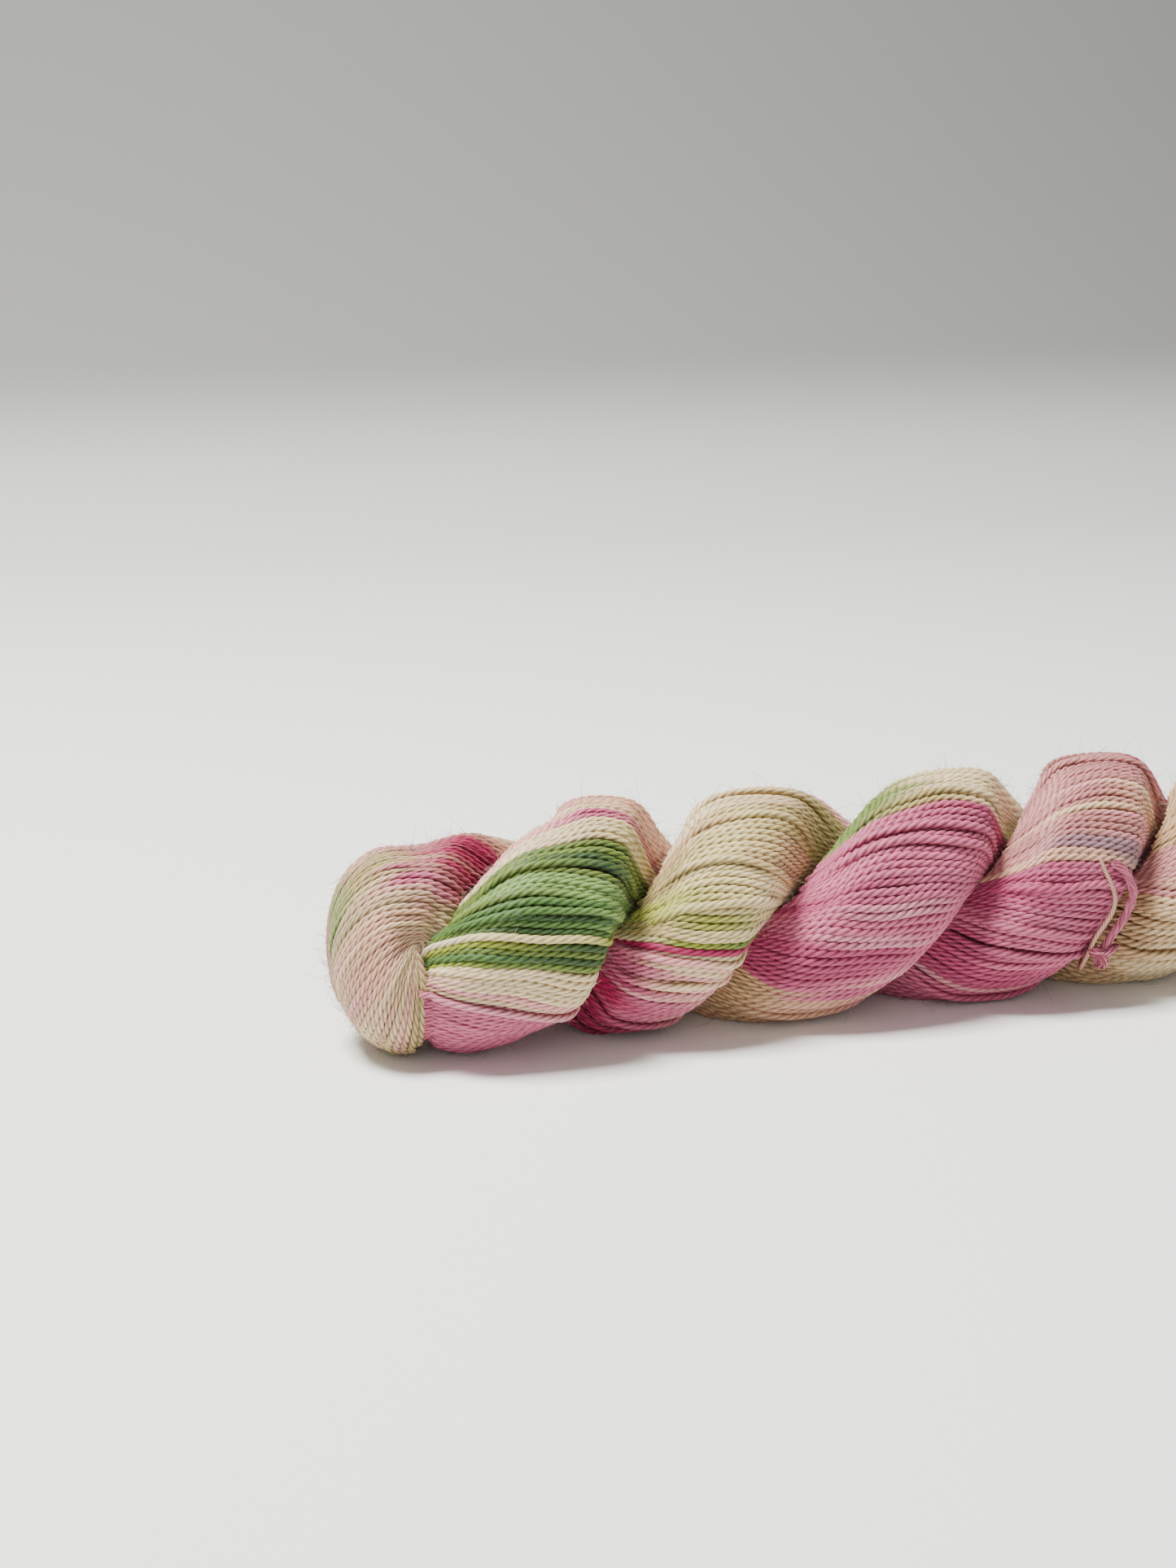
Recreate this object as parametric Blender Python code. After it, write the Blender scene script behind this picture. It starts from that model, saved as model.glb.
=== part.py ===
"""A twisted hank of mohair yarn lying on a flat surface, with the tie that holds it.

The yarn was wound into one big ring, twisted and folded in half, so that two fat strands
lie around each other like a rope. At -X the doubled ring turns back on itself in one
rounded lobe. At +X one end loop is tucked through the other.

Frame: X runs along the hank, -Y faces the viewer, +Z is up, and the origin lies on the
surface under the middle of the hank. Sizes in this file are millimetres until a mesh
is made.
"""

import math

import bmesh
import bpy
from mathutils import Vector

MM = 0.001

# Distances along the hank are measured from the turn, where the two strands part.
LOBE_REACH = 16.4
HANK_END = 249.0

# Where the groove between the strands lies round the hank: (distance along, half turns).
# It starts at the pivot of the turn, a little above the front.
PIVOT_ANGLE = math.radians(24)
TURNS = (
    (0.0, PIVOT_ANGLE / math.pi),
    (22.0, 0.5),
    (35.0, 0.7),
    (43.5, 1.0),
    (79.5, 2.0),
    (128.5, 3.0),
    (169.5, 4.0),
    (208.0, 5.0),
    (246.0, 6.0),
)

# How far each strand reaches from the hank's axis, and how high the axis lies:
# (distance along, first strand, second strand, axis).
SIZES = (
    (-30.0, 22.3, 16.0, 21.0),
    (0.0, 22.4, 18.8, 21.2),
    (10.0, 22.3, 24.8, 23.4),
    (22.0, 22.6, 26.8, 24.8),
    (45.0, 23.8, 26.6, 24.7),
    (70.0, 25.4, 25.8, 24.4),
    (100.0, 26.0, 26.0, 24.6),
    (150.0, 26.8, 26.8, 25.3),
    (190.0, 26.6, 26.6, 25.1),
    (206.0, 25.2, 25.2, 24.2),
    (222.0, 19.0, 19.0, 23.1),
    (260.0, 16.0, 16.0, 22.4),
)
FIRST_REACH, SECOND_REACH, AXIS_HEIGHT = (
    tuple((row[0], row[column]) for row in SIZES) for column in (1, 2, 3)
)

# One strand's section, as shares of its reach: an ellipse beside the hank's axis.
STRAND_OFFSET = 0.37
STRAND_HALF_DEPTH = 0.60
STRAND_HALF_WIDTH = 0.855

# The lobe, a rounded cap that the first strand runs into.
LOBE_HALF_WIDTH = 19.0
LOBE_CENTRE = -2.0
LOBE_BLEND = 17.0
END_FULLNESS = 2.2
DIMPLE_DEPTH = 0.22
DIMPLE_LENGTH = 5.5
DIMPLE_ANGLE = math.radians(24)

# The tucked end: a collar of yarn round the neck, and the loop that comes out of it.
COLLAR_CENTRE = 225.0
COLLAR_HALF_LENGTH = 10.0
COLLAR_INNER = 12.0
COLLAR_THICKNESS = 12.0
COLLAR_SLANT = 5.0
COLLAR_SLANT_TO = math.radians(60)
SLANT_BEGINS = 200.0
TWIST_ENDS = 214.0
NUB_CENTRE = 228.0
NUB_HALF_HEIGHT = 18.5
NUB_HALF_WIDTH = 15.5

# How far two shapes round into each other where they meet.
STRAND_MEETING = 1.2
TUCK_MEETING = 5.0

# The loft: the most that a ring lies from the next, along and round the hank.
RING_STEP = 3.0
RING_TURN = math.radians(11)
SEGMENTS = 44
END_RINGS = 8

# The tie: a soft strand of the yarn and a thin plied one, knotted at the hank's lower front.
# A route's rows: (distance along, degrees round, lift off the hank).
TIE_DIAMETER = 2.2
TIE_ROUTE = (
    (159.4, 21.0, 0.3),
    (161.6, 16.5, 0.4),
    (163.4, 10.0, 0.5),
    (164.2, 3.5, 0.6),
    (163.8, -2.5, 0.7),
    (162.4, -8.0, 0.7),
    (160.9, -12.5, 0.6),
    (160.0, -16.5, 0.5),
)
TIE_END_DIAMETER = 1.1
TIE_END_ROUTE = (
    (156.6, 23.5, 0.3),
    (157.4, 17.0, 0.4),
    (158.6, 10.0, 0.4),
    (159.4, 3.5, 0.4),
    (158.8, -3.0, 0.4),
    (157.2, -8.5, 0.4),
    (155.7, -14.0, 0.4),
    (154.9, -20.0, 0.4),
    (154.6, -26.0, 0.4),
    (154.5, -32.0, 0.4),
    (155.1, -37.5, 0.5),
    (157.1, -41.0, 0.6),
    (159.4, -40.0, 0.7),
    (160.4, -36.0, 0.7),
    (160.0, -32.0, 0.6),
)
TIE_STEPS = 3
KNOT_AT = (159.2, -23.8)
KNOT_LIFT = 0.4
KNOT_SIZE = (6.4, 4.2, 5.4)
TOUCH_GAP = 0.3

# The block below the surface, which presses the underside flat.
SURFACE_BLOCK = (400.0, 120.0, 40.0)

YARN_CREAM = (0.66, 0.55, 0.42, 1.0)
YARN_PINK = (0.68, 0.26, 0.38, 1.0)
THREAD_BEIGE = (0.58, 0.42, 0.30, 1.0)


def between(rows, x):
    """The value at x of a smooth curve through (x, value) rows."""
    if x <= rows[0][0]:
        return rows[0][1]
    for i in range(len(rows) - 1):
        (x0, y0), (x1, y1) = rows[i], rows[i + 1]
        if x <= x1:
            before = slope(rows, i)
            after = slope(rows, i + 1)
            t = (x - x0) / (x1 - x0)
            width = x1 - x0
            return (
                y0 * (1 + 2 * t) * (1 - t) ** 2
                + y1 * t * t * (3 - 2 * t)
                + width * before * t * (1 - t) ** 2
                - width * after * t * t * (1 - t)
            )
    return rows[-1][1]


def slope(rows, i):
    """The curve's slope at row i, from the rows on each side."""
    low, high = max(i - 1, 0), min(i + 1, len(rows) - 1)
    return (rows[high][1] - rows[low][1]) / (rows[high][0] - rows[low][0])


def groove_angle(x):
    """Where the groove between the strands lies round the hank at x.

    Angles start at the front and grow towards the top.
    """
    return math.pi * between(TURNS, x)


def smooth(t):
    t = min(max(t, 0.0), 1.0)
    return t * t * (3 - 2 * t)


def greater(one, other, meeting):
    """The greater of two reaches, rounded into each other where they are nearly equal."""
    near = max(meeting - abs(one - other), 0.0)
    return max(one, other) + near * near / (4 * meeting)


def ellipse_reach(angle, offset, half_depth, half_width):
    """How far an ellipse reaches from the axis, at an angle from its own direction."""
    c, s = math.cos(angle), math.sin(angle)
    a = (c / half_depth) ** 2 + (s / half_width) ** 2
    b = -2 * offset * c / half_depth**2
    rest = (offset / half_depth) ** 2 - 1
    return (-b + math.sqrt(b * b - 4 * a * rest)) / (2 * a)


def first_strand(x, angle):
    """The strand on top at the turn. There it fills the whole lobe."""
    part = smooth((x - LOBE_CENTRE) / LOBE_BLEND)
    full = between(FIRST_REACH, x)
    return ellipse_reach(
        angle - groove_angle(x) - math.pi / 2,
        full * STRAND_OFFSET * part,
        full * (1 + (STRAND_HALF_DEPTH - 1) * part),
        LOBE_HALF_WIDTH + (full * STRAND_HALF_WIDTH - LOBE_HALF_WIDTH) * part,
    )


def second_strand(x, angle):
    """The strand underneath at the turn. It comes out from under the lobe."""
    full = between(SECOND_REACH, x)
    return ellipse_reach(
        angle - groove_angle(x) + math.pi / 2,
        full * STRAND_OFFSET,
        full * STRAND_HALF_DEPTH,
        full * STRAND_HALF_WIDTH,
    )


def dimple(x, angle):
    """The dents at the turn, front and back, where the yarns draw together."""
    depth = 0.0
    for middle in (PIVOT_ANGLE, PIVOT_ANGLE + math.pi):
        off = math.remainder(angle - middle, 2 * math.pi) / DIMPLE_ANGLE
        depth += DIMPLE_DEPTH * math.exp(-(off**2) - (x / DIMPLE_LENGTH) ** 2)
    return 1 - depth


def rounded(along):
    """The share of its full size that a rounded end has, from 0 at its middle to 1 at its tip."""
    return (1 - min(along, 1.0) ** END_FULLNESS) ** (1 / END_FULLNESS)


def lobe(x, angle):
    """The rounded cap to the left of the lobe's widest section."""
    return first_strand(LOBE_CENTRE, angle) * rounded((LOBE_CENTRE - x) / (LOBE_REACH + LOBE_CENTRE))


def slant(x, angle):
    """How far the collar, and the rings of the loft near it, lean along the hank."""
    part = smooth((x - SLANT_BEGINS) / (COLLAR_CENTRE - SLANT_BEGINS))
    part *= smooth((HANK_END - x) / (HANK_END - COLLAR_CENTRE))
    return part * COLLAR_SLANT * math.cos(angle - COLLAR_SLANT_TO)


def collar(x, angle):
    """The loop of yarn round the neck of the tucked end."""
    middle = COLLAR_CENTRE + slant(COLLAR_CENTRE, angle)
    off = (x - middle) / COLLAR_HALF_LENGTH
    if abs(off) >= 1:
        return 0.0
    return COLLAR_INNER + COLLAR_THICKNESS * (1 - off * off)


def nub(x, angle):
    """The rounded loop that comes out through the collar."""
    full = ellipse_reach(angle, 0.0, NUB_HALF_WIDTH, NUB_HALF_HEIGHT)
    return full * rounded(abs(x - NUB_CENTRE) / (HANK_END - NUB_CENTRE))


def hank_reach(x, angle):
    """How far the whole hank reaches from its axis."""
    if x < LOBE_CENTRE:
        return lobe(x, angle) * dimple(x, angle)
    tuck = greater(collar(x, angle), nub(x, angle), TUCK_MEETING)
    if x > NUB_CENTRE:
        return tuck
    top = first_strand(x, angle) * dimple(x, angle)
    strands = greater(top, second_strand(x, angle), STRAND_MEETING)
    return greater(strands, tuck, TUCK_MEETING)


def on_hank(x, angle, lift=0.0):
    """A point of the hank's surface, or lifted off it, in millimetres."""
    far = hank_reach(x, angle) + lift
    middle = (HANK_END - LOBE_REACH) / 2
    height = between(AXIS_HEIGHT, x) + far * math.sin(angle)
    return Vector((x - middle, -far * math.cos(angle), height))


def eased(start, end, count, ease_start, ease_end):
    """Positions from start to end, closer together at an eased end."""
    found = []
    for i in range(count + 1):
        t = i / count
        if ease_start:
            t = 1 - math.cos(t * math.pi / 2)
        if ease_end:
            t = math.sin(t * math.pi / 2)
        found.append(start + (end - start) * t)
    return found


def ring_places():
    """Where the loft's rings lie along the hank."""
    places = eased(-LOBE_REACH, LOBE_CENTRE, END_RINGS, True, False)[1:]
    while places[-1] < NUB_CENTRE - RING_STEP / 2:
        x = places[-1]
        turn = groove_angle(x + RING_STEP) - groove_angle(x)
        places.append(x + RING_STEP * min(1.0, RING_TURN / turn))
    return places + eased(NUB_CENTRE, HANK_END, END_RINGS, False, True)[:-1]


def make_hank(collection, material):
    """The wound form, as a loft whose lines follow the strands."""
    mesh = bmesh.new()
    rings = []
    for x in ring_places():
        turned = groove_angle(min(x, TWIST_ENDS))
        ring = []
        for i in range(SEGMENTS):
            angle = turned + 2 * math.pi * i / SEGMENTS
            ring.append(mesh.verts.new(on_hank(x + slant(x, angle), angle) * MM))
        rings.append(ring)
    for near, far in zip(rings, rings[1:]):
        for i in range(SEGMENTS):
            j = (i + 1) % SEGMENTS
            mesh.faces.new((near[i], far[i], far[j], near[j]))
    for ring, x in ((rings[0], -LOBE_REACH), (rings[-1], HANK_END)):
        tip = mesh.verts.new(on_hank(x, 0.0) * MM)
        for i in range(SEGMENTS):
            mesh.faces.new((ring[i], ring[(i + 1) % SEGMENTS], tip))
    bmesh.ops.recalc_face_normals(mesh, faces=mesh.faces)
    data = bpy.data.meshes.new("hank")
    mesh.to_mesh(data)
    mesh.free()
    hank = bpy.data.objects.new("hank", data)
    collection.objects.link(hank)
    data.materials.append(material)
    data.shade_smooth()
    return hank


def along_route(route):
    """A smooth run of (distance, degrees, lift) places through a route's rows."""
    places = []
    for i in range(len(route) - 1):
        before, start = route[max(i - 1, 0)], route[i]
        end, after = route[i + 1], route[min(i + 2, len(route) - 1)]
        for step in range(TIE_STEPS):
            t = step / TIE_STEPS
            places.append(
                tuple(
                    b + (c - a) * t / 2
                    + (2 * a - 5 * b + 4 * c - d) * t * t / 2
                    + (3 * b - a - 3 * c + d) * t**3 / 2
                    for a, b, c, d in zip(before, start, end, after)
                )
            )
    return places + [route[-1]]


def make_strand(name, route, diameter, collection, material):
    """One strand of the tie, a tube that lies just clear of the hank."""
    curve = bpy.data.curves.new(name, "CURVE")
    curve.dimensions = "3D"
    curve.bevel_depth = diameter / 2 * MM
    curve.bevel_resolution = 2
    curve.use_fill_caps = True
    places = along_route(route)
    spline = curve.splines.new("POLY")
    spline.points.add(len(places) - 1)
    for point, (x, degrees, lift) in zip(spline.points, places):
        off = diameter / 2 + TOUCH_GAP + lift
        point.co = (*(on_hank(x, math.radians(degrees), off) * MM), 1.0)
    curve.materials.append(material)
    strand = bpy.data.objects.new(name, curve)
    collection.objects.link(strand)
    return strand


def make_knot(collection, material):
    """The knot, a small egg of yarn that lies against the hank."""
    x, degrees = KNOT_AT
    angle = math.radians(degrees)
    length, depth, height = KNOT_SIZE
    mesh = bmesh.new()
    bmesh.ops.create_uvsphere(mesh, u_segments=20, v_segments=12, radius=0.5)
    bmesh.ops.scale(mesh, verts=mesh.verts, vec=Vector((length, depth, height)) * MM)
    data = bpy.data.meshes.new("tie_knot")
    mesh.to_mesh(data)
    mesh.free()
    data.materials.append(material)
    data.shade_smooth()
    knot = bpy.data.objects.new("tie_knot", data)
    knot.location = on_hank(x, angle, depth / 2 + TOUCH_GAP + KNOT_LIFT) * MM
    knot.rotation_euler = (-angle, 0.0, 0.0)
    collection.objects.link(knot)
    return knot


def clear_scene():
    for item in list(bpy.data.objects):
        bpy.data.objects.remove(item)


def new_collection(name):
    made = bpy.data.collections.new(name)
    bpy.context.scene.collection.children.link(made)
    return made


def new_material(name, colour, roughness):
    material = bpy.data.materials.new(name)
    material.use_nodes = True
    shader = material.node_tree.nodes["Principled BSDF"]
    shader.inputs["Base Color"].default_value = colour
    shader.inputs["Roughness"].default_value = roughness
    return material


def cut_flat(hank, cutters):
    """Presses the underside flat where it lies on the surface."""
    bpy.ops.mesh.primitive_cube_add(size=1.0)
    floor = bpy.context.object
    floor.name = "surface_cutter"
    for owner in list(floor.users_collection):
        owner.objects.unlink(floor)
    cutters.objects.link(floor)
    floor.scale = Vector(SURFACE_BLOCK) * MM
    floor.location = (0.0, 0.0, -SURFACE_BLOCK[2] / 2 * MM)
    floor.hide_render = True
    floor.display_type = "WIRE"
    press = hank.modifiers.new("press", "BOOLEAN")
    press.operation = "DIFFERENCE"
    press.object = floor


def main():
    clear_scene()
    parts = new_collection("mohair_yarn")
    cutters = new_collection("cutters")
    yarn = new_material("hand_dyed_yarn", YARN_CREAM, 0.8)
    soft = new_material("soft_pink_strand", YARN_PINK, 0.85)
    thin = new_material("thin_beige_thread", THREAD_BEIGE, 0.8)
    hank = make_hank(parts, yarn)
    cut_flat(hank, cutters)
    make_strand("tie", TIE_ROUTE, TIE_DIAMETER, parts, soft)
    make_strand("tie_end", TIE_END_ROUTE, TIE_END_DIAMETER, parts, thin)
    make_knot(parts, soft)


main()
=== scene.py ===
"""The looks of a hand-dyed hank of mohair yarn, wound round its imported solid.

The outer yarns are laid one by one: arcs over the two twisted strands, a fan round the turn
at the left, and the tucked loop at the right. Each is a plied tube with its own dye, and fine
hairs stand off them all.

Sizes are millimetres, and distances along the hank start at the turn, as in the part's source.
Angles round the hank start at the front and grow towards the top.
"""

import math
import random

import bmesh
import bpy
import numpy as np
from mathutils import Matrix, Vector


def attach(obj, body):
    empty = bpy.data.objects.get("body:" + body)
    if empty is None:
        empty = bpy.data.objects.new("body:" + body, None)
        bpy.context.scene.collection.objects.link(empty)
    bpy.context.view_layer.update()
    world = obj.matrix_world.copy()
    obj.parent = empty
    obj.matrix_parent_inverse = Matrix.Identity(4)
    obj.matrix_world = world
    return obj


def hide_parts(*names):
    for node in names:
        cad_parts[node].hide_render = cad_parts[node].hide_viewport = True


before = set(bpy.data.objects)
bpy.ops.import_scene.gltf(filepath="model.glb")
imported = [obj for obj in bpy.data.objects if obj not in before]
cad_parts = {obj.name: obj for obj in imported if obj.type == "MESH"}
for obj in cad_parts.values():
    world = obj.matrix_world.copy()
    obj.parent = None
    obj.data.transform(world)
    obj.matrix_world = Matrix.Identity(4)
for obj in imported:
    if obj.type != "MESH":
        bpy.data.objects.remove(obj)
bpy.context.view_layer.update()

MM = 0.001
FIRST, SECOND = 0, 1

# The hank's form, as in the part's source.
LOBE_REACH = 16.4
HANK_END = 249.0
HANK_MIDDLE = (HANK_END - LOBE_REACH) / 2
PIVOT_DEGREES = 24.0
TURNS = (
    (0.0, PIVOT_DEGREES / 180), (22.0, 0.5), (35.0, 0.7), (43.5, 1.0), (79.5, 2.0),
    (128.5, 3.0), (169.5, 4.0), (208.0, 5.0), (246.0, 6.0),
)
SIZES = (
    (-30.0, 22.3, 16.0, 21.0), (0.0, 22.4, 18.8, 21.2), (10.0, 22.3, 24.8, 23.4),
    (22.0, 22.6, 26.8, 24.8), (45.0, 23.8, 26.6, 24.7), (70.0, 25.4, 25.8, 24.4),
    (100.0, 26.0, 26.0, 24.6), (150.0, 26.8, 26.8, 25.3), (190.0, 26.6, 26.6, 25.1),
    (206.0, 25.2, 25.2, 24.2), (222.0, 19.0, 19.0, 23.1), (260.0, 16.0, 16.0, 22.4),
)
FIRST_REACH, SECOND_REACH, AXIS_HEIGHT = (
    tuple((row[0], row[column]) for row in SIZES) for column in (1, 2, 3)
)
STRAND_OFFSET = 0.37
STRAND_HALF_DEPTH = 0.60
STRAND_HALF_WIDTH = 0.855
LOBE_HALF_WIDTH = 19.0
LOBE_CENTRE = -2.0
LOBE_BLEND = 17.0
END_FULLNESS = 2.2
DIMPLE_DEPTH = 0.22
DIMPLE_LENGTH = 5.5
DIMPLE_DEGREES = 24.0
COLLAR_CENTRE = 225.0
COLLAR_HALF_LENGTH = 10.0
COLLAR_INNER = 12.0
COLLAR_THICKNESS = 12.0
COLLAR_SLANT = 5.0
COLLAR_SLANT_TO = 60.0
NUB_CENTRE = 228.0
NUB_HALF_HEIGHT = 18.5
NUB_HALF_WIDTH = 15.5

# The yarn: four plies, twisted to the left, so they slant like a stroke on a lying yarn.
YARN_RADIUS = 1.08
YARNS_ROUND = {(SECOND, 0): 108, (FIRST, 1): 104, (SECOND, 1): 92, (FIRST, 2): 104}
OTHER_YARNS_ROUND = 84
PLIES = 4
PLY_PITCH = 9.4
PLY_VALLEY = 0.73
PLY_RIDGE = 1.05
PLY_CLOSER = 0.04
YARN_STEP = 1.28

# The tie and its thread: routes of (distance along, degrees round, lift), as in the source.
THREAD_DIAMETER = 1.1
THREAD_PITCH = 4.4
THREAD_ROUTE = (
    (156.6, 23.5, 0.3), (157.4, 17.0, 0.4), (158.6, 10.0, 0.4), (159.4, 3.5, 0.4),
    (158.8, -3.0, 0.4), (157.2, -8.5, 0.4), (155.7, -14.0, 0.4), (154.9, -20.0, 0.4),
    (154.6, -26.0, 0.4), (154.5, -32.0, 0.4), (155.1, -37.5, 0.5), (157.1, -41.0, 0.6),
    (159.4, -40.0, 0.7), (160.4, -36.0, 0.7), (160.0, -32.0, 0.6),
)
TIE_DIAMETER = 2.2
TIE_ROUTE = (
    (159.4, 21.0, 0.3), (161.6, 16.5, 0.4), (163.4, 10.0, 0.5), (164.2, 3.5, 0.6),
    (163.8, -2.5, 0.7), (162.4, -8.0, 0.7), (160.9, -12.5, 0.6), (160.0, -16.5, 0.5),
)
TOUCH_GAP = 0.3
KNOT_AT = (157.9, -24.2)
KNOT_LIFT = 0.4
KNOT_SIZE = (6.4, 4.2, 5.4)
TIE_TO_KNOT = ((159.0, -19.8, 0.6), (158.0, -23.0, 0.8))

draw = random.Random(27)


def put(name, data):
    """Puts a new object in the scene."""
    made = bpy.data.objects.new(name, data)
    bpy.context.scene.collection.objects.link(made)
    return made


def alike(value, count):
    """The same value for each of a number of points."""
    return np.repeat(np.array(value)[None], count, axis=0)


# Camera

CAMERA_DOWN = 14.0
CAMERA_ASIDE = 18.0
CAMERA_AT = (-0.2300, -0.4805, 0.1823)
CAMERA_LENS = 54.18


def make_camera():
    """The photograph's view: from the left end, a little above the hank."""
    down, aside = math.radians(CAMERA_DOWN), math.radians(CAMERA_ASIDE)
    ahead = Vector((
        math.sin(aside) * math.cos(down),
        math.cos(aside) * math.cos(down),
        -math.sin(down),
    ))
    right = Vector((math.cos(aside), -math.sin(aside), 0.0))
    camera = put("camera", bpy.data.cameras.new("camera"))
    turn = Matrix((right, right.cross(ahead), -ahead)).transposed()
    camera.matrix_world = Matrix.Translation(CAMERA_AT) @ turn.to_4x4()
    camera.data.sensor_width = 36
    camera.data.lens = CAMERA_LENS
    camera.data.clip_start = 0.01
    bpy.context.scene.camera = camera


# The hank's form

def between(rows, x):
    """The value at each x of a smooth curve through (x, value) rows."""
    at, values = np.array(rows).T
    chord = (np.roll(values, -1) - np.roll(values, 1)) / (np.roll(at, -1) - np.roll(at, 1))
    chord[0] = (values[1] - values[0]) / (at[1] - at[0])
    chord[-1] = (values[-1] - values[-2]) / (at[-1] - at[-2])
    x = np.clip(x, at[0], at[-1])
    i = np.clip(np.searchsorted(at, x) - 1, 0, len(at) - 2)
    width = at[i + 1] - at[i]
    t = (x - at[i]) / width
    return (
        values[i] * (1 + 2 * t) * (1 - t) ** 2
        + values[i + 1] * t * t * (3 - 2 * t)
        + width * chord[i] * t * (1 - t) ** 2
        - width * chord[i + 1] * t * t * (1 - t)
    )


def smooth(t):
    """A soft step from 0 to 1."""
    t = np.clip(t, 0.0, 1.0)
    return t * t * (3 - 2 * t)


def groove_degrees(x):
    """Where the groove between the two strands lies round the hank."""
    return 180 * between(TURNS, x)


GROOVE_X = np.linspace(0.0, 246.0, 2000)
GROOVE_ANGLES = groove_degrees(GROOVE_X)


def ellipse_reach(degrees, offset, half_depth, half_width):
    """How far an ellipse reaches from the axis, at an angle from its own direction."""
    c, s = np.cos(np.radians(degrees)), np.sin(np.radians(degrees))
    a = (c / half_depth) ** 2 + (s / half_width) ** 2
    b = -2 * offset * c / half_depth**2
    rest = (offset / half_depth) ** 2 - 1
    return (-b + np.sqrt(b * b - 4 * a * rest)) / (2 * a)


def first_strand(x, degrees):
    """How far the first strand reaches from the axis. At the turn it widens into the lobe."""
    part = smooth((x - LOBE_CENTRE) / LOBE_BLEND)
    full = between(FIRST_REACH, x)
    return ellipse_reach(
        degrees - groove_degrees(x) - 90,
        full * STRAND_OFFSET * part,
        full * (1 + (STRAND_HALF_DEPTH - 1) * part),
        LOBE_HALF_WIDTH + (full * STRAND_HALF_WIDTH - LOBE_HALF_WIDTH) * part,
    )


def second_strand(x, degrees):
    """How far the second strand reaches from the axis."""
    full = between(SECOND_REACH, x)
    return ellipse_reach(
        degrees - groove_degrees(x) + 90,
        full * STRAND_OFFSET,
        full * STRAND_HALF_DEPTH,
        full * STRAND_HALF_WIDTH,
    )


def dimple(x, degrees):
    """How much of the lobe's reach is left at the two pits that it turns round."""
    depth = 0.0
    for middle in (PIVOT_DEGREES, PIVOT_DEGREES + 180):
        off = ((degrees - middle + 180) % 360 - 180) / DIMPLE_DEGREES
        depth = depth + DIMPLE_DEPTH * np.exp(-(off**2) - (x / DIMPLE_LENGTH) ** 2)
    return 1 - depth


def turn_reach(x, degrees):
    """How far the first strand reaches, with the rounded lobe that it runs into."""
    along = np.clip((LOBE_CENTRE - x) / (LOBE_REACH + LOBE_CENTRE), 0.0, 1.0)
    rounded = (1 - along**END_FULLNESS) ** (1 / END_FULLNESS)
    return first_strand(np.maximum(x, LOBE_CENTRE), degrees) * rounded * dimple(x, degrees)


def collar_slant(degrees):
    """How far along the hank the collar leans, at an angle round it."""
    return COLLAR_SLANT * np.cos(np.radians(degrees - COLLAR_SLANT_TO))


def at_reach(x, degrees, reach):
    """A point at a distance from the hank's axis, in millimetres from the turn."""
    angle = np.radians(degrees)
    y = -reach * np.cos(angle)
    z = between(AXIS_HEIGHT, x) + reach * np.sin(angle)
    return np.stack(np.broadcast_arrays(x, y, z), axis=-1)


def degrees_round(points):
    """Where points lie round the hank's axis."""
    height = between(AXIS_HEIGHT, points[:, 0])
    return np.degrees(np.arctan2(points[:, 2] - height, -points[:, 1]))


def on_strands(x, degrees, lift):
    """Points that lie on the outer strand, or lifted off it."""
    reach = np.maximum(turn_reach(x, degrees), second_strand(x, degrees))
    return at_reach(x, degrees, reach + lift)


# Dye

DYES = {
    "white": "#E6DDBC",
    "cream": "#E3CDA4",
    "straw": "#E0CE97",
    "tan": "#C7A57B",
    "khaki": "#B5A168",
    "chartreuse": "#B2B353",
    "peach": "#DFB095",
    "blush": "#E2A0A2",
    "pale_rose": "#D58D9F",
    "rose": "#C76586",
    "deep_rose": "#B4436F",
    "magenta": "#B01658",
    "dusk": "#C68683",
    "mauve": "#A17C86",
    "lime": "#9CA732",
    "moss": "#6C8230",
    "green": "#527A31",
    "bottle": "#345521",
    "sage": "#83A355",
}

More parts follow.
